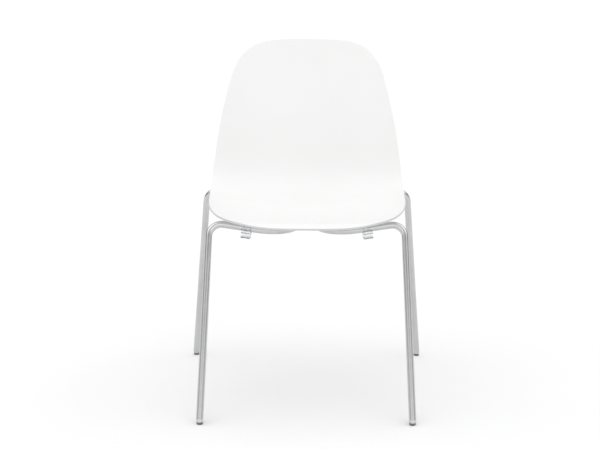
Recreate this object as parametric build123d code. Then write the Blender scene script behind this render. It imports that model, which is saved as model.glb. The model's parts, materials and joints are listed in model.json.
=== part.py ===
from build123d import *
from math import cos, pi, radians, sin
import os

# A stacking chair: one moulded shell carried by two bent steel side tubes.
# Millimetres, +Z up. The chair faces -Y. Left and right are as seen from the front, so right is +X.
# While it is built, y is measured back from the front feet; the last step centres the whole chair.

# ---- shell: its centre line, from the front lip over the seat and up the back ----
lip_setback = -2.0            # y of the lip, just in front of the front feet
lip_height = 440.2            # height of the lip's upper edge
seat_run = 275.0              # along the centre line, from the lip to where the seat starts to turn up
bend_run = 235.0              # the turn from seat to back
back_run = 251.5              # from that turn to the top edge
lip_run = 32.0                # the rolled lip
lip_slope = 25.0              # degrees the lip climbs at its edge
seat_fall = 2.85              # degrees the seat falls towards the back
back_slope = 78.8             # degrees the back stands above the horizontal
top_flare = 4.0               # degrees the back leans out again by its top edge
shell_thickness = 4.5

# ---- shell: its width ----
shell_half_width = 230.0      # at the hips, where the shell is widest
front_corner_run = 250.0      # how far along the centre line the rounded front reaches
front_corner_power = 3.84     # 2 is an ellipse, more is squarer
top_corner_run = 121.0
top_corner_power = 3.95
# (share of the centre line, share of the half width before the corners are rounded)
width_stations = [
    (0.0, 0.89), (0.2, 0.96), (0.38, 1.0), (0.55, 1.0), (0.72, 0.929), (0.88, 0.806), (1.0, 0.677),
]
# (share of the centre line, how far the side edge rises towards the sitter)
lift_stations = [
    (0.0, 8.0), (0.25, 20.0), (0.45, 22.0), (0.6, 24.0), (0.75, 25.0), (0.88, 19.0), (1.0, 9.0),
]
lift_power = 3.0              # 1 is a straight rise from the centre to the edge

# ---- shell: how finely its surface and its outline are laid out ----
surface_margin = 14.0         # the untrimmed surface reaches this far past the shell all round
surface_rows = 44             # along the centre line
surface_columns = 22          # across
trim_overshoot = 8.0          # the trimming band stands this far over and under the sheet
corner_steps = 14
side_steps = 12

# ---- side tubes ----
tube_diameter = 16.0
tube_wall = 2.0
foot_spread_front = 233.5     # x of the front feet
foot_spread_rear = 284.3      # x of the rear feet
wheelbase = 450.0             # front foot to rear foot
front_top_inset = 7.4         # the front legs' tops stand this far inside the widest shell
front_top_setback = 193.0     # and this far behind the front feet
front_top_drop = 30.6         # and this far under the lip
rear_top_outset = 13.5        # the rear legs' tops stand this far outside the widest shell
rear_top_lead = 62.0          # and this far in front of the rear feet
rear_top_rise = 10.0          # and this far over the lip
inner_gap = 29.5              # clear width between the two tubes under the middle of the seat
inner_front_setback = 158.0
inner_front_drop = 52.5       # under the lip
inner_rear_lead = 90.0        # in front of the rear feet
inner_rear_drop = 43.5        # under the lip
leg_bend = 28.0               # bend radii, to the tube's centre line
inner_front_bend = 80.0
inner_rear_bend = 40.0

# ---- frame fittings ----
cross_plate_length = 26.0
cross_plate_thickness = 4.0
front_plate_setback = 110.0   # middle of the front plate behind the tubes' inner front corner
rear_plate_lead = 60.0        # middle of the rear plate in front of their inner rear corner
tab_width = 26.0
tab_thickness = 3.0
tab_rise = 3.5                # tab's upper face over the tube's centre line
tab_reach = 24.0              # tube's centre line to screw
rear_tab_x = 82.0
fitting_gap = 5.0             # between a bumper and a tab on a cross run

# ---- fasteners ----
screw_diameter = 6.0
screw_head_diameter = 11.0
screw_head_height = 3.3
screw_head_rounding = 2.0
screw_grip = 11.0             # thread above the tab
screw_tip_chamfer = 0.6
socket_size = 4.0             # across flats
socket_depth = 2.0
hole_clearance = 0.3          # round a screw in a tab, on the radius
thread_clearance = 0.05       # round a screw in its insert, on the radius
washer_diameter = 14.0
washer_thickness = 1.4
insert_diameter = 9.0
insert_length = 10.0
insert_clearance = 0.02       # round an insert in its boss, on the radius
insert_recess = 0.5           # insert's lower end above the boss's end
insert_groove = 1.5           # along the insert
insert_groove_depth = 0.6
bore_spare = 1.0              # of a boss's bore past the end of its insert
boss_diameter = 18.0
boss_gap = 0.05               # boss to tab

# ---- stacking bumpers, clipped on the cross runs ----
bumper_length = 20.5          # along the tube
bumper_wall = 3.0
bumper_width = 20.0           # fore and aft, below the tube
bumper_drop = 15.0            # below the tube
bumper_mouth = 10.0           # the slot that snaps over the tube
bumper_clearance = 0.05
bumper_corner = 2.5
bumper_core_corner = 1.0      # in the two cores moulded through the block
front_bumper_x = 136.8
rear_bumper_x = 150.0

# ---- glides ----
glide_height = 10.0           # end of a leg's centre line over the floor
plug_length = 24.0
plug_clearance = 0.05
plug_chamfer = 1.0
sole_diameter = 14.0
sole_height = 5.0
sole_edge = 1.0
dome_clearance = 0.05

tube_radius = tube_diameter / 2
bore_radius = tube_radius - tube_wall
shell_length = seat_run + bend_run + back_run
STANDING = (Align.CENTER, Align.CENTER, Align.MIN)
inner_x = inner_gap / 2 + tube_radius
front_tab_x = front_bumper_x - bumper_length / 2 - fitting_gap - tab_width / 2


# ---------------------------------------------------------------- shell


def turn(s, start, length):
    """0 before start, 1 past start + length, and a smooth step between."""
    t = min(max((s - start) / length, 0.0), 1.0)
    return t * t * (3 - 2 * t)


def slope(s):
    """Angle of the centre line over the horizontal, in radians."""
    past_lip = turn(s, 0.0, lip_run)
    past_bend = turn(s, seat_run, bend_run)
    past_back = turn(s, seat_run + bend_run, back_run)
    degrees_up = lip_slope * (1 - past_lip) - seat_fall * past_lip
    degrees_up += (back_slope + seat_fall) * past_bend - top_flare * past_back
    return radians(degrees_up)


def walk_centre_line():
    """The centre line in steps of a millimetre, as (y, z)."""
    y, z = lip_setback, lip_height
    line = [(y, z)]
    for step in range(round(shell_length)):
        middle = slope(step + 0.5)
        y += cos(middle)
        z += sin(middle)
        line.append((y, z))
    return line


centre_line = walk_centre_line()


def centre_point(s):
    """(y, z, slope) on the centre line, which runs on straight past both its ends."""
    last = len(centre_line) - 1
    at = min(max(int(s), 0), last - 1)
    (y0, z0), (y1, z1) = centre_line[at], centre_line[at + 1]
    return y0 + (s - at) * (y1 - y0), z0 + (s - at) * (z1 - z0), slope(s)


def through(stations, share):
    """A smooth curve through (share, value) stations, a cubic piece between each two."""
    share = min(max(share, stations[0][0]), stations[-1][0])
    at = max(i for i in range(len(stations) - 1) if stations[i][0] <= share)
    (a, va), (b, vb) = stations[at], stations[at + 1]
    chord = (vb - va) / (b - a)

    def tangent(i):
        if i == 0 or i == len(stations) - 1:
            return chord
        (p, vp), (n, vn) = stations[i - 1], stations[i + 1]
        return (vn - vp) / (n - p)

    t = (share - a) / (b - a)
    ease = t * t * (3 - 2 * t)
    leave = t * (1 - t) ** 2 * (b - a) * tangent(at)
    arrive = t * t * (1 - t) * (b - a) * tangent(at + 1)
    return va + ease * (vb - va) + leave - arrive


def half_width(s):
    """Half the shell's width at s, before its corners are rounded."""
    return shell_half_width * through(width_stations, s / shell_length)


def shell_point(s, x, depth):
    """A point of the shell: s along it, x across it, and depth below its sitting face."""
    y, z, angle = centre_point(s)
    lift = through(lift_stations, s / shell_length) * (abs(x) / half_width(s)) ** lift_power
    return Vector(x, y - (lift - depth) * sin(angle), z + (lift - depth) * cos(angle))


def outline():
    """(s, x) round the right half of the shell's edge, from the middle of the lip to the top's middle."""
    points = []
    for k in range(corner_steps):
        angle = pi / 2 * k / corner_steps
        s = front_corner_run * (1 - cos(angle) ** (2 / front_corner_power))
        points.append((s, half_width(s) * sin(angle) ** (2 / front_corner_power)))
    side = shell_length - front_corner_run - top_corner_run
    for k in range(side_steps):
        s = front_corner_run + side * k / side_steps
        points.append((s, half_width(s)))
    for k in range(corner_steps + 1):
        angle = pi / 2 * (1 - k / corner_steps)
        s = shell_length - top_corner_run * (1 - cos(angle) ** (2 / top_corner_power))
        points.append((s, half_width(s) * sin(angle) ** (2 / top_corner_power)))
    return points


def shell_face(depth):
    """The shell's surface at a depth, a little larger all round than the shell."""
    reach = shell_half_width + surface_margin
    across = [reach * (2 * j / surface_columns - 1) for j in range(surface_columns + 1)]
    run = shell_length + 2 * surface_margin
    grid = []
    for i in range(surface_rows + 1):
        s = run * i / surface_rows - surface_margin
        grid.append([shell_point(s, x, depth) for x in across])
    return Face.make_surface_from_array_of_points(grid, tol=0.02)


def outline_wall():
    """A band square to the centre line that stands on the shell's outline, for trimming the shell."""
    right = outline()
    loop = right + [(s, -x) for s, x in reversed(right[1:-1])]
    over = [shell_point(s, x, -trim_overshoot) for s, x in loop]
    under = [shell_point(s, x, shell_thickness + trim_overshoot) for s, x in loop]
    edges = [Edge.make_spline(points, periodic=True) for points in (over, under)]
    return Face.make_surface_from_curves(*edges)


def shell_height(x, y, depth):
    """Height of the seat over a point, at a depth below its sitting face."""
    low, high = 0.0, seat_run + bend_run / 2
    for _ in range(40):
        s = (low + high) / 2
        if shell_point(s, x, depth).Y < y:
            low = s
        else:
            high = s
    return shell_point(low, x, depth).Z


def moulded_sheet():
    """The bare shell, trimmed to its outline with an edge square to its centre line."""
    upper, lower = shell_face(0.0), shell_face(shell_thickness)
    sides = [Face.make_surface_from_curves(a, b) for a, b in zip(upper.edges(), lower.edges())]
    blank = Solid(Shell([upper, lower, *sides]))
    pieces = blank.split(outline_wall(), keep=Keep.ALL)
    middle = shell_point(shell_length / 2, 0.0, shell_thickness / 2)
    return min(pieces, key=lambda piece: abs(piece.center() - middle))


def boss(screw):
    """A moulded boss from the middle of the sheet down to its tab, bored for an insert."""
    bottom = screw.tab_top + boss_gap
    top = shell_height(screw.x, screw.y, shell_thickness / 2)
    body = Pos(screw.x, screw.y, bottom) * Cylinder(boss_diameter / 2, top - bottom, align=STANDING)
    bore_depth = insert_recess + insert_length + bore_spare
    bore_radius = insert_diameter / 2 + insert_clearance
    bore = Pos(screw.x, screw.y, bottom) * Cylinder(bore_radius, bore_depth, align=STANDING)
    return body, bore


def seat_shell(screws):
    shell = moulded_sheet()
    for screw in screws:
        body, bore = boss(screw)
        shell = shell + body - bore
    return shell


# ---------------------------------------------------------------- side tubes


def on_line(start, end, **at):
    """The point of a straight line where X or Y has the value given."""
    axis, value = next(iter(at.items()))
    first, last = getattr(start, axis), getattr(end, axis)
    return start + (end - start) * ((value - first) / (last - first))


front_foot = Vector(foot_spread_front, 0.0, glide_height)
front_top = Vector(shell_half_width - front_top_inset, front_top_setback, lip_height - front_top_drop)
inner_front = Vector(inner_x, inner_front_setback, lip_height - inner_front_drop)
inner_rear = Vector(inner_x, wheelbase - inner_rear_lead, lip_height - inner_rear_drop)
rear_top_x = shell_half_width + rear_top_outset
rear_top = Vector(rear_top_x, wheelbase - rear_top_lead, lip_height + rear_top_rise)
rear_foot = Vector(foot_spread_rear, wheelbase, glide_height)


def right_tube(section):
    """The right side in one bent tube: front leg, front cross run, middle run, rear cross run, rear leg."""
    corners = [front_foot, front_top, inner_front, inner_rear, rear_top, rear_foot]
    path = FilletPolyline(*corners, radius=[leg_bend, inner_front_bend, inner_rear_bend, leg_bend])
    start = Plane(origin=front_foot, z_dir=front_top - front_foot)
    return sweep(start * section, path=path)


# ---------------------------------------------------------------- frame fittings


def cross_plate(y, tubes):
    """A flat bar across the gap between the two middle runs, its ends shaped to the tubes."""
    z = on_line(inner_front, inner_rear, Y=y).Z
    bar = Pos(0, y, z) * Box(2 * inner_x, cross_plate_length, cross_plate_thickness)
    return bar - tubes


class Screw:
    """Where one shell screw stands: under the right half of the seat, beside a cross run."""

    def __init__(self, on_tube, direction):
        self.root = on_tube
        self.direction = direction
        self.x = on_tube.X
        self.y = on_tube.Y + direction * tab_reach
        self.tab_top = on_tube.Z + tab_rise


def mount_tab(screw, tube):
    """A flat ear welded to a cross run, with a round end and a hole for the shell screw."""
    hole_radius = screw_diameter / 2 + hole_clearance
    ear = Rectangle(tab_width, tab_reach, align=(Align.CENTER, Align.MIN))
    ear += Pos(0, tab_reach) * Circle(tab_width / 2)
    ear -= Pos(0, tab_reach) * Circle(hole_radius)
    turned = Rot(0, 0, 0 if screw.direction > 0 else 180)
    place = Pos(screw.x, screw.root.Y, screw.tab_top - tab_thickness)
    return place * turned * extrude(ear, tab_thickness) - tube


def hex_socket(depth):
    across_corners = socket_size / cos(pi / 6)
    return extrude(RegularPolygon(across_corners / 2, 6), depth)


def shell_screw(screw):
    """A button-head screw, up through the washer and the tab into the insert."""
    seat = screw.tab_top - tab_thickness - washer_thickness
    head = Cylinder(screw_head_diameter / 2, screw_head_height, align=STANDING)
    head = fillet(head.faces().sort_by(Axis.Z)[0].edges(), screw_head_rounding)
    head = Pos(0, 0, -screw_head_height) * (head - hex_socket(socket_depth))
    reach = washer_thickness + tab_thickness + screw_grip
    shank = Cylinder(screw_diameter / 2 - thread_clearance, reach, align=STANDING)
    shank = chamfer(shank.faces().sort_by(Axis.Z)[-1].edges(), screw_tip_chamfer)
    return Pos(screw.x, screw.y, seat) * (head + shank)


def shell_washer(screw):
    ring = Cylinder(washer_diameter / 2, washer_thickness, align=STANDING)
    ring -= Cylinder(screw_diameter / 2 + hole_clearance, washer_thickness, align=STANDING)
    return Pos(screw.x, screw.y, screw.tab_top - tab_thickness - washer_thickness) * ring


def threaded_insert(screw):
    """A brass insert in the boss, with a groove round its middle."""
    body = Cylinder(insert_diameter / 2, insert_length, align=STANDING)
    groove = Cylinder(insert_diameter / 2, insert_groove)
    groove -= Cylinder(insert_diameter / 2 - insert_groove_depth, insert_groove)
    body -= Pos(0, 0, insert_length / 2) * groove
    body -= Cylinder(screw_diameter / 2, insert_length, align=STANDING)
    return Pos(screw.x, screw.y, screw.tab_top + boss_gap + insert_recess) * body


# ---------------------------------------------------------------- stacking bumpers


def stacking_bumper(at, along):
    """A clear clip that snaps over a cross run and hangs a cored block under it."""
    level = Vector(0, 0, 1).cross(along)
    section_plane = Plane(origin=at, x_dir=level, z_dir=along)
    height = tube_radius + bumper_drop
    block = Rectangle(bumper_width, height, align=(Align.CENTER, Align.MAX))
    block = fillet(block.vertices().group_by(Axis.Y)[0], bumper_corner)
    section = Circle(tube_radius + bumper_wall) + block
    section -= Circle(tube_radius + bumper_clearance)
    section -= Rectangle(bumper_mouth, tube_diameter, align=(Align.CENTER, Align.MIN))
    core_width = bumper_width / 2 - 1.5 * bumper_wall
    core_height = bumper_drop - 2 * bumper_wall
    middle = -tube_radius - bumper_drop / 2
    for side in (-1, 1):
        core = RectangleRounded(core_width, core_height, bumper_core_corner)
        section -= Pos(side * (core_width + bumper_wall) / 2, middle) * core
    return extrude(section_plane * section, bumper_length / 2, both=True)


# ---------------------------------------------------------------- glides


def leg_end(foot, top):
    """The end of a leg, with z down the leg."""
    return Plane(origin=foot, z_dir=foot - top)


def glide(foot, top):
    """A plug up the leg with a domed end the size of the tube."""
    plug = Pos(0, 0, -plug_length) * Cylinder(bore_radius - plug_clearance, plug_length, align=STANDING)
    plug = chamfer(plug.faces().sort_by(Axis.Z)[0].edges(), plug_chamfer)
    dome = Sphere(tube_radius) & Cylinder(tube_radius, tube_radius, align=STANDING)
    return leg_end(foot, top) * (plug + dome)


def sole(foot):
    """A flat-bottomed cup under the dome, which is what stands on the floor."""
    puck = Pos(foot.X, foot.Y, 0) * Cylinder(sole_diameter / 2, sole_height, align=STANDING)
    puck = fillet(puck.faces().sort_by(Axis.Z)[0].edges(), sole_edge)
    return puck - Pos(*foot) * Sphere(tube_radius + dome_clearance)


# ---------------------------------------------------------------- the chair


def mirrored(shape):
    return mirror(shape, about=Plane.YZ)


def mirrored_screw(screw):
    return Screw(Vector(-screw.root.X, screw.root.Y, screw.root.Z), screw.direction)


def both_sides(name, right):
    """The right-hand piece and its mirror image, as two nodes."""
    return {f"{name}_right": right, f"{name}_left": mirrored(right)}


def group(pieces):
    """Right-hand pieces and their mirror images, as one node of separate solids."""
    both = [shape for piece in pieces for shape in (piece, mirrored(piece))]
    return Compound([solid for shape in both for solid in shape.solids()])


def chair():
    solid_tube = right_tube(Circle(tube_radius))
    tube = right_tube(Circle(tube_radius) - Circle(bore_radius))
    both_tubes = solid_tube + mirrored(solid_tube)
    screws = [
        Screw(on_line(inner_front, front_top, X=front_tab_x), 1),
        Screw(on_line(inner_rear, rear_top, X=rear_tab_x), -1),
    ]
    front_clip = on_line(inner_front, front_top, X=front_bumper_x)
    rear_clip = on_line(inner_rear, rear_top, X=rear_bumper_x)
    all_screws = screws + [mirrored_screw(screw) for screw in screws]

    nodes = {"seat_shell": seat_shell(all_screws)}
    nodes |= both_sides("side_tube", tube)
    plate_front = inner_front.Y + front_plate_setback
    plate_rear = inner_rear.Y - rear_plate_lead
    nodes["front_cross_plate"] = cross_plate(plate_front, both_tubes)
    nodes["rear_cross_plate"] = cross_plate(plate_rear, both_tubes)
    for name, screw in zip(("front", "rear"), screws):
        nodes |= both_sides(f"{name}_mount_tab", mount_tab(screw, solid_tube))
    nodes["shell_screws"] = group([shell_screw(screw) for screw in screws])
    nodes["shell_washers"] = group([shell_washer(screw) for screw in screws])
    nodes["threaded_inserts"] = group([threaded_insert(screw) for screw in screws])
    front_run = (front_top - inner_front).normalized()
    rear_run = (rear_top - inner_rear).normalized()
    nodes |= both_sides("front_stacking_bumper", stacking_bumper(front_clip, front_run))
    nodes |= both_sides("rear_stacking_bumper", stacking_bumper(rear_clip, rear_run))
    for name, foot, top in (("front", front_foot, front_top), ("rear", rear_foot, rear_top)):
        nodes |= both_sides(f"{name}_glide", glide(foot, top))
        nodes |= both_sides(f"{name}_glide_sole", sole(foot))
    return nodes


def centred(nodes):
    """The whole chair moved so that the middle of its bounding box is over the origin."""
    box = Compound([solid for shape in nodes.values() for solid in shape.solids()]).bounding_box()
    middle = (box.min.Y + box.max.Y) / 2
    return {name: Pos(0, -middle, 0) * shape for name, shape in nodes.items()}


os.makedirs("parts", exist_ok=True)
for name, shape in centred(chair()).items():
    export_step(shape, f"parts/{name}.step")
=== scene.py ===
import json
import random
from math import cos, pi, radians, sin

import bpy
from mathutils import Matrix, Vector


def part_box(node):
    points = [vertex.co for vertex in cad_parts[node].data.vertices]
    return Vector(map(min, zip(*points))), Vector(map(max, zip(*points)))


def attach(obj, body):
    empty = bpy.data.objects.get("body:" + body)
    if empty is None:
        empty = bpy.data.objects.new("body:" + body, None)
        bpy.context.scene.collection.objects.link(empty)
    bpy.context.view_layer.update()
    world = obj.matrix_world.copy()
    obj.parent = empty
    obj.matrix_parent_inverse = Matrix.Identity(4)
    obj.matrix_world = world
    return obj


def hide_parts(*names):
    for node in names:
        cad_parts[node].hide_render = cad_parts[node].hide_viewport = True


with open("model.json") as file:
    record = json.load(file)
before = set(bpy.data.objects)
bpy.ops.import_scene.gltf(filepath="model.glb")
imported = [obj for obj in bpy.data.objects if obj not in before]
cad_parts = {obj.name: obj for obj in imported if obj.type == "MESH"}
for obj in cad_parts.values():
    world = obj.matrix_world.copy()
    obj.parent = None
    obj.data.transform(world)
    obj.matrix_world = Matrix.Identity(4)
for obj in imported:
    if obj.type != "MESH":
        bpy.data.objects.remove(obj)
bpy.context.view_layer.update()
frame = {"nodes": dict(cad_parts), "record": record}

# A stacking chair: a white moulded shell on a frame of two bent, satin chrome tubes.
# Metres, +Z up. The chair faces -Y, and right is +X, as seen from the front.

# ---- the shell's centre line, from the front lip over the seat and up the back ----
LIP_SETBACK = -0.002          # the lip, measured back from the front feet
LIP_HEIGHT = 0.4402
SEAT_RUN = 0.275
BEND_RUN = 0.235
BACK_RUN = 0.2515
LIP_RUN = 0.032
LIP_SLOPE = 25.0              # degrees
SEAT_FALL = 2.85
BACK_SLOPE = 78.8
TOP_FLARE = 4.0
SHELL_THICKNESS = 0.0045
SHELL_LENGTH = SEAT_RUN + BEND_RUN + BACK_RUN
LINE_STEP = 0.001
HALVINGS = 30                 # in the search for a place on the line

# ---- the shell's width ----
SHELL_HALF_WIDTH = 0.230
FRONT_CORNER_RUN = 0.250
FRONT_CORNER_POWER = 3.84
TOP_CORNER_RUN = 0.121
TOP_CORNER_POWER = 3.95
# (share of the centre line, share of the half width before the corners are rounded)
WIDTH_STATIONS = [
    (0.0, 0.89), (0.2, 0.96), (0.38, 1.0), (0.55, 1.0), (0.72, 0.929), (0.88, 0.806), (1.0, 0.677),
]
# (share of the centre line, how far the side edge rises towards the sitter)
LIFT_STATIONS = [
    (0.0, 0.008), (0.25, 0.020), (0.45, 0.022), (0.6, 0.024), (0.75, 0.025), (0.88, 0.019), (1.0, 0.009),
]
LIFT_POWER = 3.0

# ---- how finely the shell is meshed ----
CELLS_ACROSS = 76
CELLS_ALONG = 128
EDGE_CELL = 0.004             # share of a side taken by the narrow cells beside the rim
RIM_ROUNDING = 0.0011         # radius of the rim's two edges
RIM_STEPS = 4                 # round each of them
CORNER_POINTS = 90            # of each rounded corner of the outline
SIDE_POINTS = 120
RIM_SHADE_END = 0.36                # the front part of the rim, painted grey as shade, ends here along the shell
# over this length the rim's painted shade fades out
RIM_SHADE_FADE = 0.10

# ---- bosses under the seat ----
BOSS_RADIUS = 0.009
BOSS_FLARE = 0.004            # the fillet where a boss meets the shell
BOSS_GAP = 0.00005            # boss to mounting tab
BORE_RADIUS = 0.00452
BORE_DEPTH = 0.0115
BOSS_SEGMENTS = 48
BOSS_EDGE = 0.0006            # rounding round its lower end
BOSS_EDGE_MIDDLE = 0.3        # the halfway point of that rounding, as a share of it
FLARE_STEPS = 6
FLARE_SINK = 0.0002           # how far the flare's rim goes into the sheet

# ---- weld beads ----
BEAD_RADIUS = 0.0013
BEAD_STEP = 0.0004            # between the rings of a bead
BEAD_RIPPLE = 0.0017          # one ripple's length
BEAD_UNEVEN = (0.8, 1.2)      # how quickly the ripples follow each other, as a share
BEAD_SIDES = 12
BEAD_TIP = 0.25               # a bead's radius at its very ends, as a share
BEAD_WAIST = 0.86             # and between two ripples
BEAD_SEED = 7
SAME_PLACE = 0.0001           # points this near to a tab's edge are on it

# ---- materials ----
RAMP_START = 0.3              # the middle of a noise, which is most of it
RAMP_END = 0.7

# ---- the studio's light, by the sine of the height over the horizon ----
SKY_HEIGHTS = (0.0, 0.35, 0.65, 0.88, 1.0)
SKY_FRONT = (1.44, 1.58, 0.17, 1.24, 1.69)
SKY_SIDES = (0.97, 0.22, 2.18, 1.24, 1.69)
SKY_BACK = (0.27, 0.27, 0.51, 1.24, 1.69)
SKY_STRENGTH = 2.5
FLOOR_REACH = 40.0

# ---- camera ----
CAMERA_SENSOR = 36.0
CAMERA_LENS = 66.0
CAMERA_SHIFT_X = -7.0 / 600
CAMERA_SHIFT_Y = 0.5 / 600
CAMERA_DISTANCE = 2.2537      # in front of the front feet
CAMERA_HEIGHT = 0.9692
CAMERA_PITCH = 13.0           # degrees down
CAMERA_ROLL = 0.0045          # radians


MOUNT_TABS = [f"{end}_mount_tab_{side}" for end in ("front", "rear") for side in ("right", "left")]


def centre(node):
    low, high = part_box(node)
    return (low + high) / 2


FRONT_FEET_Y = centre("front_glide_sole_right").y


# ---------------------------------------------------------------- the shell's shape


def turn(s, start, length):
    """0 before start, 1 past start + length, and a smooth step between."""
    t = min(max((s - start) / length, 0.0), 1.0)
    return t * t * (3 - 2 * t)


def slope(s):
    """Angle of the centre line over the horizontal, in radians."""
    past_lip = turn(s, 0.0, LIP_RUN)
    past_bend = turn(s, SEAT_RUN, BEND_RUN)
    past_back = turn(s, SEAT_RUN + BEND_RUN, BACK_RUN)
    degrees_up = LIP_SLOPE * (1 - past_lip) - SEAT_FALL * past_lip
    degrees_up += (BACK_SLOPE + SEAT_FALL) * past_bend - TOP_FLARE * past_back
    return radians(degrees_up)


def walk_centre_line():
    """The centre line in short steps, as (y, z)."""
    y, z = FRONT_FEET_Y + LIP_SETBACK, LIP_HEIGHT
    line = [(y, z)]
    for step in range(round(SHELL_LENGTH / LINE_STEP)):
        middle = slope((step + 0.5) * LINE_STEP)
        y += LINE_STEP * cos(middle)
        z += LINE_STEP * sin(middle)
        line.append((y, z))
    return line


CENTRE_LINE = walk_centre_line()


def centre_point(s):
    """(y, z, slope) on the centre line, which runs on straight past both its ends."""
    last = len(CENTRE_LINE) - 1
    at = min(max(int(s / LINE_STEP), 0), last - 1)
    (y0, z0), (y1, z1) = CENTRE_LINE[at], CENTRE_LINE[at + 1]
    part = s / LINE_STEP - at
    return y0 + part * (y1 - y0), z0 + part * (z1 - z0), slope(s)


def through(stations, share):
    """A smooth curve through (share, value) stations, a cubic piece between each two."""
    share = min(max(share, stations[0][0]), stations[-1][0])
    at = max(i for i in range(len(stations) - 1) if stations[i][0] <= share)
    (a, va), (b, vb) = stations[at], stations[at + 1]
    chord = (vb - va) / (b - a)

    def tangent(i):
        if i == 0 or i == len(stations) - 1:
            return chord
        (p, vp), (n, vn) = stations[i - 1], stations[i + 1]
        return (vn - vp) / (n - p)

    t = (share - a) / (b - a)
    ease = t * t * (3 - 2 * t)
    leave = t * (1 - t) ** 2 * (b - a) * tangent(at)
    arrive = t * t * (1 - t) * (b - a) * tangent(at + 1)
    return va + ease * (vb - va) + leave - arrive


def half_width(s):
    """Half the shell's width at s, before its corners are rounded."""
    return SHELL_HALF_WIDTH * through(WIDTH_STATIONS, s / SHELL_LENGTH)


def shell_point(s, x, depth):
    """A point of the shell: s along it, x across it, and depth below its sitting face."""
    y, z, angle = centre_point(s)
    lift = through(LIFT_STATIONS, s / SHELL_LENGTH) * (abs(x) / half_width(s)) ** LIFT_POWER
    return Vector((x, y - (lift - depth) * sin(angle), z + (lift - depth) * cos(angle)))


def underside_height(x, y):
    """Height of the seat's underside over a point of the floor."""
    low, high = 0.0, SEAT_RUN + BEND_RUN / 2
    for _ in range(HALVINGS):
        s = (low + high) / 2
        if shell_point(s, x, SHELL_THICKNESS).y < y:
            low = s
        else:
            high = s
    return shell_point(low, x, SHELL_THICKNESS).z


def corner(run, power, k):
    """(distance in from the end of the shell, share of the half width) round a corner, k from 0 to 1."""
    angle = pi / 2 * k
    return run * (1 - cos(angle) ** (2 / power)), sin(angle) ** (2 / power)


def right_outline():
    """(s, x) down the right half of the shell's edge, and where its two corners are halfway round."""
    points = []
    for k in range(CORNER_POINTS):
        s, share = corner(FRONT_CORNER_RUN, FRONT_CORNER_POWER, k / CORNER_POINTS)
        points.append((s, half_width(s) * share))
    side = SHELL_LENGTH - FRONT_CORNER_RUN - TOP_CORNER_RUN
    for k in range(SIDE_POINTS):
        s = FRONT_CORNER_RUN + side * k / SIDE_POINTS
        points.append((s, half_width(s)))
    for k in range(CORNER_POINTS + 1):
        run, share = corner(TOP_CORNER_RUN, TOP_CORNER_POWER, 1 - k / CORNER_POINTS)
        s = SHELL_LENGTH - run
        points.append((s, half_width(s) * share))
    middle = CORNER_POINTS // 2
    return points, middle, len(points) - 1 - middle


def inset(points, distance):
    """The outline moved inwards, in the flat of s and x."""
    moved = []
    for i, (s, x) in enumerate(points):
        before = points[i - 1] if i else (s, -points[1][1])
        after = points[i + 1] if i + 1 < len(points) else (s, -points[-2][1])
        along = Vector((after[0] - before[0], after[1] - before[1])).normalized()
        moved.append((s + along.y * distance, x - along.x * distance))
    return moved


def shares(count):
    """Where the grid's lines cross a side: evenly, but for a narrow cell at each end."""
    inner = [EDGE_CELL + (1 - 2 * EDGE_CELL) * k / (count - 2) for k in range(count - 1)]
    return [0.0, *inner, 1.0]


def resample(pairs, count):
    """(edge point, inset point) pairs spread along the edge at the grid's shares of its length."""
    lengths = [0.0]
    for (a, _), (b, _) in zip(pairs, pairs[1:]):
        lengths.append(lengths[-1] + (Vector(b) - Vector(a)).length)
    spread, at = [], 0
    for share in shares(count):
        target = lengths[-1] * share
        while at < len(lengths) - 2 and lengths[at + 1] < target:
            at += 1
        part = (target - lengths[at]) / (lengths[at + 1] - lengths[at])
        (a, c), (b, d) = pairs[at], pairs[at + 1]
        spread.append((Vector(a).lerp(Vector(b), part), Vector(c).lerp(Vector(d), part)))
    return spread


def flip(pairs):
    """The same pairs on the other side of the chair, in the opposite order."""
    return [((a[0], -a[1]), (b[0], -b[1])) for a, b in reversed(pairs)]


def shell_edges():
    """The grid's front, right, top and left edges, as (edge point, inset point) pairs."""
    outline, front_corner, top_corner = right_outline()
    pairs = list(zip(outline, inset(outline, RIM_ROUNDING)))
    front_half = pairs[: front_corner + 1]
    top_half = pairs[top_corner:]
    front = resample(flip(front_half) + front_half[1:], CELLS_ACROSS)
    right = resample(pairs[front_corner: top_corner + 1], CELLS_ALONG)
    top = resample(top_half + flip(top_half)[1:], CELLS_ACROSS)
    left = [(Vector((a.x, -a.y)), Vector((b.x, -b.y))) for a, b in right]
    return front, right, top[::-1], left


def grid_place(front, right, top, left, i, j):
    """The (s, x) of a grid point, blended from the four edges."""
    u, v = shares(CELLS_ACROSS)[i], shares(CELLS_ALONG)[j]
    along = front[i][1] * (1 - v) + top[i][1] * v
    across = left[j][1] * (1 - u) + right[j][1] * u
    corners = (front[0][1] * (1 - u) + front[-1][1] * u) * (1 - v)
    corners += (top[0][1] * (1 - u) + top[-1][1] * u) * v
    return along + across - corners


def rim_profile():
    """(share of the way out, depth) from the sitting face round the rim to the underside."""
    upper = []
    for k in range(1, RIM_STEPS + 1):
        angle = pi / 2 * k / RIM_STEPS
        upper.append((sin(angle), RIM_ROUNDING * (1 - cos(angle))))
    return upper + [(out, SHELL_THICKNESS - depth) for out, depth in reversed(upper)]


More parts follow.
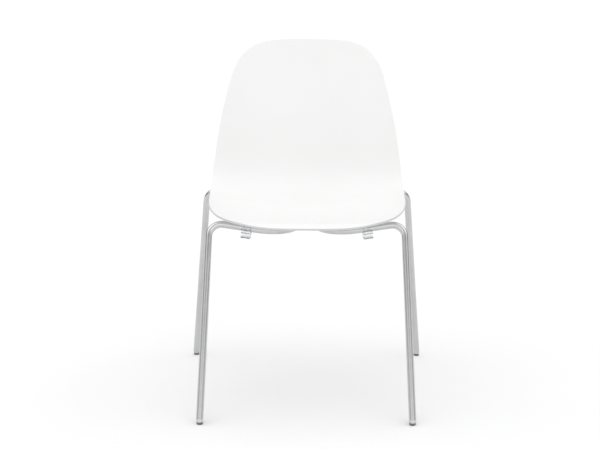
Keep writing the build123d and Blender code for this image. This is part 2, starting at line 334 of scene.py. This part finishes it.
def shell_mesh():
    """The sheet, with a rounded rim, as vertices, faces and each vertex's share of the rim's painted shade.
    """
    front, right, top, left = shell_edges()
    vertices, faces, rim = [], [], []
    wide, tall = CELLS_ACROSS + 1, CELLS_ALONG + 1
    places = [grid_place(front, right, top, left, i, j) for j in range(tall) for i in range(wide)]
    for depth in (0.0, SHELL_THICKNESS):
        first = len(vertices)
        for n, place in enumerate(places):
            vertices.append(shell_point(place.x, place.y, depth))
            cells_in = min(n % wide, wide - 1 - n % wide, n // wide, tall - 1 - n // wide)
            rim.append((1.0 / (1 + cells_in) ** 2, place.x))
        for j in range(CELLS_ALONG):
            for i in range(CELLS_ACROSS):
                a = first + j * wide + i
                face = (a, a + 1, a + wide + 1, a + wide)
                faces.append(face if depth == 0.0 else face[::-1])
    under = wide * tall
    border = [(i, front[i][0]) for i in range(wide - 1)]
    border += [(j * wide + wide - 1, right[j][0]) for j in range(tall - 1)]
    border += [((tall - 1) * wide + i, top[i][0]) for i in range(wide - 1, 0, -1)]
    border += [(j * wide, left[j][0]) for j in range(tall - 1, 0, -1)]
    rings = []
    for n, edge in border:
        ring = [n]
        for out, depth in rim_profile():
            ring.append(len(vertices))
            inner = shell_point(places[n].x, places[n].y, depth)
            vertices.append(inner.lerp(shell_point(edge.x, edge.y, depth), out))
            rim.append((1.0, edge.x))
        rings.append(ring + [under + n])
    # painted shade: only the front of the rim keeps its share, which fades out along the shell
    rim = [share * (1 - turn(vertex_along, RIM_SHADE_END - RIM_SHADE_FADE, RIM_SHADE_FADE)) for share, vertex_along in rim]
    for ring, following in zip(rings, rings[1:] + rings[:1]):
        for k in range(len(ring) - 1):
            faces.append((ring[k], ring[k + 1], following[k + 1], following[k]))
    return vertices, faces, rim


def boss_mesh(x, y, bottom):
    """A round boss under the seat, flared into the sheet and bored from below."""
    profile = [(0.0, bottom + BORE_DEPTH), (BORE_RADIUS, bottom + BORE_DEPTH), (BORE_RADIUS, bottom)]
    halfway = BOSS_EDGE * BOSS_EDGE_MIDDLE
    profile += [(BOSS_RADIUS - BOSS_EDGE, bottom), (BOSS_RADIUS - halfway, bottom + halfway)]
    profile += [(BOSS_RADIUS, bottom + BOSS_EDGE)]
    sunk = SHELL_THICKNESS / 2
    vertices, faces = [], []
    for radius, z in profile:
        vertices += [Vector((x + radius * cos(a), y + radius * sin(a), z)) for a in boss_angles()]
    for k in range(FLARE_STEPS + 1):
        angle = pi / 2 * k / FLARE_STEPS
        radius = BOSS_RADIUS + BOSS_FLARE * (1 - cos(angle))
        for a in boss_angles():
            px, py = x + radius * cos(a), y + radius * sin(a)
            rise = BOSS_FLARE * (1 - sin(angle)) if k < FLARE_STEPS else -FLARE_SINK
            vertices.append(Vector((px, py, underside_height(px, py) - rise)))
    vertices += [Vector((v.x, v.y, v.z + sunk)) for v in vertices[-BOSS_SEGMENTS:]]
    rings = len(vertices) // BOSS_SEGMENTS
    for ring in range(rings - 1):
        for k in range(BOSS_SEGMENTS):
            a = ring * BOSS_SEGMENTS + k
            b = ring * BOSS_SEGMENTS + (k + 1) % BOSS_SEGMENTS
            faces.append((a, b, b + BOSS_SEGMENTS, a + BOSS_SEGMENTS))
    faces.append(tuple(range((rings - 1) * BOSS_SEGMENTS, rings * BOSS_SEGMENTS)))
    return vertices, faces


def boss_angles():
    return [2 * pi * k / BOSS_SEGMENTS for k in range(BOSS_SEGMENTS)]


def new_piece(name, vertices, faces, material):
    mesh = bpy.data.meshes.new(name)
    mesh.from_pydata(vertices, [], faces)
    mesh.validate()
    mesh.shade_smooth()
    mesh.materials.append(material)
    piece = bpy.data.objects.new(name, mesh)
    bpy.context.scene.collection.objects.link(piece)
    return piece


def seat_shell(material):
    vertices, faces, rim = shell_mesh()
    for node in MOUNT_TABS:
        low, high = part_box(node)
        x = (low.x + high.x) / 2
        radius = (high.x - low.x) / 2
        y = high.y - radius if node.startswith("front") else low.y + radius
        more, sides = boss_mesh(x, y, high.z + BOSS_GAP)
        faces += [tuple(len(vertices) + n for n in side) for side in sides]
        vertices += more
        rim += [0.0] * len(more)
    shell = new_piece("moulded_shell", vertices, faces, material)
    # the rim attribute carries the painted shade along the front rim to the material
    attribute = shell.data.attributes.new("rim", "FLOAT", "POINT")
    attribute.data.foreach_set("value", rim)
    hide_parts("seat_shell")
    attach(shell, "root")


# ---------------------------------------------------------------- weld beads


def at_place(points, **values):
    """The points whose x, y or z are the values given."""
    return [p for p in points if all(abs(getattr(p, axis) - at) < SAME_PLACE for axis, at in values.items())]


def weld_lines():
    """Where the tabs and the cross plates meet the tubes, as (start, end)."""
    lines = []
    for node in MOUNT_TABS:
        low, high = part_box(node)
        points = node_points(node)
        toward_tube = min if node.startswith("front") else max
        for z in (low.z, high.z):
            ends = [toward_tube(at_place(points, x=x, z=z), key=lambda p: p.y) for x in (low.x, high.x)]
            lines.append(ends)
    for node in ("front_cross_plate", "rear_cross_plate"):
        low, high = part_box(node)
        points = node_points(node)
        for side in (min, max):
            for z in (low.z, high.z):
                lines.append([side(at_place(points, y=y, z=z), key=lambda p: p.x) for y in (low.y, high.y)])
    return lines


def node_points(node):
    piece = frame["nodes"][node]
    return [piece.matrix_world @ vertex.co for vertex in piece.data.vertices]


def bead_mesh(start, end):
    """A rippled bead along a line, tapered at its ends."""
    along = end - start
    across = along.cross(Vector((0, 0, 1))).normalized()
    rise = across.cross(along).normalized()
    count = round(along.length / BEAD_STEP)
    vertices, faces = [], []
    ripple = random.uniform(0.0, 1.0)
    for k in range(count + 1):
        taper = min(1.0, BEAD_TIP + min(k, count - k) * BEAD_STEP / BEAD_RADIUS)
        ripple += BEAD_STEP / BEAD_RIPPLE * random.uniform(*BEAD_UNEVEN)
        radius = BEAD_RADIUS * taper * (BEAD_WAIST + (1 - BEAD_WAIST) * abs(cos(pi * ripple)))
        middle = start.lerp(end, k / count)
        for n in range(BEAD_SIDES):
            angle = 2 * pi * n / BEAD_SIDES
            vertices.append(middle + (across * cos(angle) + rise * sin(angle)) * radius)
    for k in range(count):
        for n in range(BEAD_SIDES):
            a, b = k * BEAD_SIDES + n, k * BEAD_SIDES + (n + 1) % BEAD_SIDES
            faces.append((a, a + BEAD_SIDES, b + BEAD_SIDES, b))
    faces.append(tuple(range(BEAD_SIDES)))
    faces.append(tuple(range(len(vertices) - 1, len(vertices) - 1 - BEAD_SIDES, -1)))
    return vertices, faces


def weld_beads(material):
    random.seed(BEAD_SEED)
    vertices, faces = [], []
    for start, end in weld_lines():
        more, sides = bead_mesh(start, end)
        faces += [tuple(len(vertices) + n for n in side) for side in sides]
        vertices += more
    beads = new_piece("weld_beads", vertices, faces, material)
    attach(beads, "root")


# ---------------------------------------------------------------- materials


class Finish:
    """A material under construction: a Principled shader and the nodes that feed it."""

    def __init__(self, name, **constants):
        self.material = bpy.data.materials.new(name)
        self.material.use_nodes = True
        self.tree = self.material.node_tree
        self.shader = self.tree.nodes["Principled BSDF"]
        for socket, value in constants.items():
            self.shader.inputs[socket.replace("_", " ")].default_value = value
        self.place = self.node("ShaderNodeTexCoord").outputs["Object"]

    def node(self, kind, **inputs):
        made = self.tree.nodes.new(kind)
        for socket, value in inputs.items():
            self.feed(made.inputs[socket.replace("_", " ")], value)
        return made

    def feed(self, socket, value):
        if isinstance(value, bpy.types.NodeSocket):
            self.tree.links.new(value, socket)
        else:
            socket.default_value = value

    def noise(self, scale, detail=2.0, stretch=(1, 1, 1)):
        place = self.node("ShaderNodeMapping", Vector=self.place, Scale=stretch).outputs["Vector"]
        return self.node("ShaderNodeTexNoise", Vector=place, Scale=scale, Detail=detail).outputs["Fac"]

    def between(self, factor, low, high):
        """A value, or a colour, that goes from low to high over the middle of the factor's range."""
        ramp = self.tree.nodes.new("ShaderNodeValToRGB")
        ramp.color_ramp.elements[0].position = RAMP_START
        ramp.color_ramp.elements[1].position = RAMP_END
        for element, value in zip(ramp.color_ramp.elements, (low, high)):
            element.color = (*value, 1.0) if isinstance(value, tuple) else (value, value, value, 1.0)
        self.feed(ramp.inputs["Fac"], factor)
        return ramp.outputs["Color"]

    def bump(self, height, strength, distance, under=None):
        made = self.node("ShaderNodeBump", Height=height, Strength=strength, Distance=distance)
        if under is not None:
            self.feed(made.inputs["Normal"], under)
        return made.outputs["Normal"]

    def set(self, **links):
        for socket, value in links.items():
            self.feed(self.shader.inputs[socket.replace("_", " ")], value)
        return self.material


def moulded_white():
    """Satin white polypropylene with a fine spark-eroded grain, and painted shade in grey along the front
    rim.
    """
    finish = Finish("moulded_white", IOR=1.49)
    flow = finish.noise(5.0, detail=3.0)
    grain = finish.noise(1400.0, detail=2.0)
    wave = finish.noise(14.0, detail=1.0)
    normal = finish.bump(wave, 0.12, 0.002)
    normal = finish.bump(grain, 0.10, 0.0002, under=normal)
    white = finish.between(flow, (0.820, 0.820, 0.817), (0.838, 0.838, 0.836))
    # painted shade: the front rim's colour is darkened to grey, standing in for the shade under the lip's
    # edge
    rim = finish.node("ShaderNodeAttribute")
    rim.attribute_name = "rim"
    rim_shade_share = finish.node("ShaderNodeMapRange", Value=rim.outputs["Fac"], From_Min=0.6, From_Max=1.0)
    rim_shade_grey = finish.between(flow, (0.56, 0.56, 0.56), (0.60, 0.60, 0.60))
    colour = finish.node("ShaderNodeMixRGB", Fac=rim_shade_share.outputs["Result"], Color1=white, Color2=rim_shade_grey)
    return finish.set(
        Base_Color=colour.outputs["Color"],
        Roughness=finish.between(finish.noise(60.0, detail=4.0), 0.40, 0.50),
        Normal=normal,
    )


def satin_chrome():
    """Satin chrome plate on steel tube: fine polishing lines and a slight cloudiness."""
    finish = Finish("satin_chrome", Metallic=1.0)
    cloud = finish.noise(35.0, detail=4.0)
    lines = finish.noise(900.0, detail=3.0, stretch=(0.25, 0.25, 1.6))
    normal = finish.bump(lines, 0.02, 0.0001)
    return finish.set(
        Base_Color=finish.between(cloud, (0.54, 0.54, 0.545), (0.585, 0.585, 0.59)),
        Roughness=finish.between(lines, 0.17, 0.21),
        Normal=normal,
    )


def weld_chrome():
    """The tubes' plating over a weld: rougher, and a little darker in the ripples."""
    finish = Finish("weld_chrome", Metallic=1.0)
    cloud = finish.noise(300.0, detail=3.0)
    grain = finish.noise(1200.0, detail=4.0)
    return finish.set(
        Base_Color=finish.between(cloud, (0.46, 0.46, 0.465), (0.56, 0.56, 0.565)),
        Roughness=finish.between(grain, 0.36, 0.52),
        Normal=finish.bump(grain, 0.2, 0.0003),
    )


def plated_plate():
    """Satin chrome on flat bar, a little rougher than the tube."""
    finish = Finish("plated_plate", Metallic=1.0)
    cloud = finish.noise(80.0, detail=5.0)
    grain = finish.noise(700.0, detail=3.0, stretch=(1.0, 0.15, 1.0))
    return finish.set(
        Base_Color=finish.between(cloud, (0.58, 0.58, 0.59), (0.66, 0.66, 0.67)),
        Roughness=finish.between(grain, 0.32, 0.46),
        Normal=finish.bump(grain, 0.10, 0.0003),
    )


def zinc_plate():
    finish = Finish("zinc_plate", Metallic=1.0)
    cloud = finish.noise(400.0, detail=4.0)
    return finish.set(
        Base_Color=finish.between(cloud, (0.50, 0.51, 0.52), (0.62, 0.63, 0.64)),
        Roughness=finish.between(cloud, 0.30, 0.44),
        Normal=finish.bump(finish.noise(2500.0), 0.08, 0.0002),
    )


def turned_brass():
    finish = Finish("turned_brass", Metallic=1.0)
    lines = finish.noise(900.0, detail=2.0, stretch=(0.1, 0.1, 3.0))
    return finish.set(
        Base_Color=finish.between(lines, (0.70, 0.52, 0.24), (0.80, 0.64, 0.34)),
        Roughness=finish.between(lines, 0.25, 0.38),
        Normal=finish.bump(lines, 0.10, 0.0002),
    )


def clear_polycarbonate():
    """Clear moulded plastic with flow marks inside and a few rubbed places."""
    finish = Finish("clear_polycarbonate", IOR=1.58, Transmission_Weight=1.0)
    flow = finish.noise(160.0, detail=3.0)
    return finish.set(
        Base_Color=finish.between(flow, (0.90, 0.91, 0.92), (0.98, 0.985, 0.99)),
        Roughness=finish.between(finish.noise(300.0, detail=3.0), 0.03, 0.14),
        Normal=finish.bump(flow, 0.15, 0.001),
    )


def nylon(name, dark, light):
    """Moulded nylon with a fine grain and scuffs."""
    finish = Finish(name, IOR=1.53)
    scuff = finish.noise(450.0, detail=5.0)
    return finish.set(
        Base_Color=finish.between(scuff, dark, light),
        Roughness=finish.between(scuff, 0.42, 0.62),
        Normal=finish.bump(finish.noise(1800.0, detail=2.0), 0.15, 0.0003),
    )


def floor_paint():
    finish = Finish("studio_floor", Roughness=1.0, Specular_IOR_Level=0.0)
    cloud = finish.noise(1.5, detail=5.0)
    return finish.set(
        Base_Color=finish.between(cloud, (0.90, 0.90, 0.90), (0.915, 0.915, 0.915)),
        Normal=finish.bump(finish.noise(220.0), 0.02, 0.001),
    )


# ---------------------------------------------------------------- the frame's own nodes


def paint_nodes():
    finishes = {
        "frame_steel": satin_chrome(),
        "plate_steel": plated_plate(),
        "screw_steel": zinc_plate(),
        "insert_brass": turned_brass(),
        "clear_plastic": clear_polycarbonate(),
        "glide_plastic": nylon("glide_nylon", (0.56, 0.56, 0.57), (0.66, 0.66, 0.67)),
        "glide_sole": nylon("sole_nylon", (0.11, 0.11, 0.112), (0.16, 0.16, 0.163)),
    }
    for part in frame["record"]["subparts"]:
        if part["material_slot"] in finishes:
            for slot in frame["nodes"][part["node"]].material_slots:
                slot.material = finishes[part["material_slot"]]


# ---------------------------------------------------------------- studio


def studio_floor():
    corners = [(-1, -1), (1, -1), (1, 1), (-1, 1)]
    mesh = bpy.data.meshes.new("studio_floor")
    mesh.from_pydata([(FLOOR_REACH * x, FLOOR_REACH * y, 0) for x, y in corners], [], [(0, 1, 2, 3)])
    mesh.materials.append(floor_paint())
    floor = bpy.data.objects.new("studio_floor", mesh)
    bpy.context.scene.collection.objects.link(floor)


def sky_ramp(tree, height, values):
    """Brightness by height over the horizon, as a share of SKY_STRENGTH."""
    node = tree.nodes.new("ShaderNodeValToRGB")
    stops = node.color_ramp.elements
    while len(stops) < len(SKY_HEIGHTS):
        stops.new(0.5)
    for stop, position, value in zip(stops, SKY_HEIGHTS, values):
        stop.position = position
        stop.color = (value / SKY_STRENGTH, value / SKY_STRENGTH, value / SKY_STRENGTH, 1.0)
    tree.links.new(height, node.inputs["Fac"])
    return node.outputs["Color"]


def studio_world():
    """A white studio without lamps, its light fitted to the photo: bright overhead, brightest at
    the sides 40 degrees up, where the front is nearly dark, and dim behind the chair."""
    world = bpy.data.worlds.new("studio")
    bpy.context.scene.world = world
    world.use_nodes = True
    tree = world.node_tree

    def math(operation, first, second):
        node = tree.nodes.new("ShaderNodeMath")
        node.operation = operation
        for socket, value in zip(node.inputs, (first, second)):
            if isinstance(value, bpy.types.NodeSocket):
                tree.links.new(value, socket)
            else:
                socket.default_value = value
        return node.outputs[0]

    def mix(factor, first, second):
        node = tree.nodes.new("ShaderNodeMixRGB")
        for socket, link in zip(node.inputs, (factor, first, second)):
            tree.links.new(link, socket)
        return node.outputs[0]

    split = tree.nodes.new("ShaderNodeSeparateXYZ")
    tree.links.new(tree.nodes.new("ShaderNodeTexCoord").outputs["Generated"], split.inputs[0])
    x, y, height = split.outputs
    across = math("MULTIPLY", x, x)
    along = math("MULTIPLY", y, y)
    sideways = math("DIVIDE", across, math("ADD", across, along))
    behind = math("GREATER_THAN", y, 0.0)
    ahead = mix(behind, sky_ramp(tree, height, SKY_FRONT), sky_ramp(tree, height, SKY_BACK))
    light = mix(sideways, ahead, sky_ramp(tree, height, SKY_SIDES))
    sky = tree.nodes["Background"]
    sky.inputs["Strength"].default_value = SKY_STRENGTH
    tree.links.new(light, sky.inputs["Color"])


def camera():
    """From the front, a little above the seat, with the photo's slight lean to the right."""
    data = bpy.data.cameras.new("camera")
    data.sensor_width = CAMERA_SENSOR
    data.lens = CAMERA_LENS
    data.shift_x = CAMERA_SHIFT_X
    data.shift_y = CAMERA_SHIFT_Y
    made = bpy.data.objects.new("camera", data)
    place = Matrix.Translation((0.0, FRONT_FEET_Y - CAMERA_DISTANCE, CAMERA_HEIGHT))
    turn_up = Matrix.Rotation(radians(90 - CAMERA_PITCH), 4, "X")
    made.matrix_world = place @ turn_up @ Matrix.Rotation(CAMERA_ROLL, 4, "Z")
    bpy.context.scene.collection.objects.link(made)
    bpy.context.scene.camera = made


bpy.context.scene.view_settings.view_transform = "Standard"
camera()
studio_floor()
studio_world()
seat_shell(moulded_white())
weld_beads(weld_chrome())
paint_nodes()
